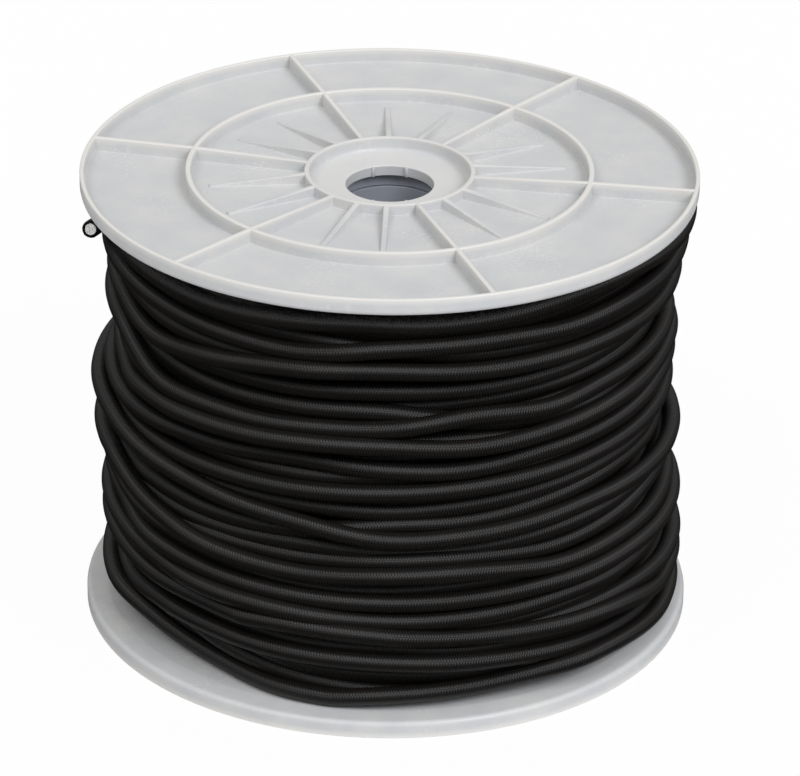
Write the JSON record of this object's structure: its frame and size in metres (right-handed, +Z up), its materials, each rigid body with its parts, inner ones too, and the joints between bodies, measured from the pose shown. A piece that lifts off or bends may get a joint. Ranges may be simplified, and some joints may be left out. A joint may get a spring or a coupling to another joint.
{
  "type": "reel of shock cord",
  "caption": "Ribbed plastic reel with two wide flanges, wound with black braided elastic cord whose cut end shows under the upper flange.",
  "frame": {"origin": "centre of the reel's axis, on the plane of the lower rim that the reel stands on", "axes": "+Z up along the axis of the reel, -Y towards the viewer, with the loose end of the cord on the -X side"},
  "size_m": [0.26, 0.26, 0.201],
  "materials": {
    "reel_plastic": "smooth moulded light grey",
    "cord_braid": "tight black polyester braid with fine ribs",
    "cord_rubber": "pale cut rubber strands"
  },
  "bodies": {
    "root": {"flange_top": "reel_plastic", "flange_bottom": "reel_plastic", "barrel": "reel_plastic", "cord_winding": "cord_braid", "cord_tail": "cord_braid", "cord_core": "cord_rubber"}
  },
  "joints": []
}
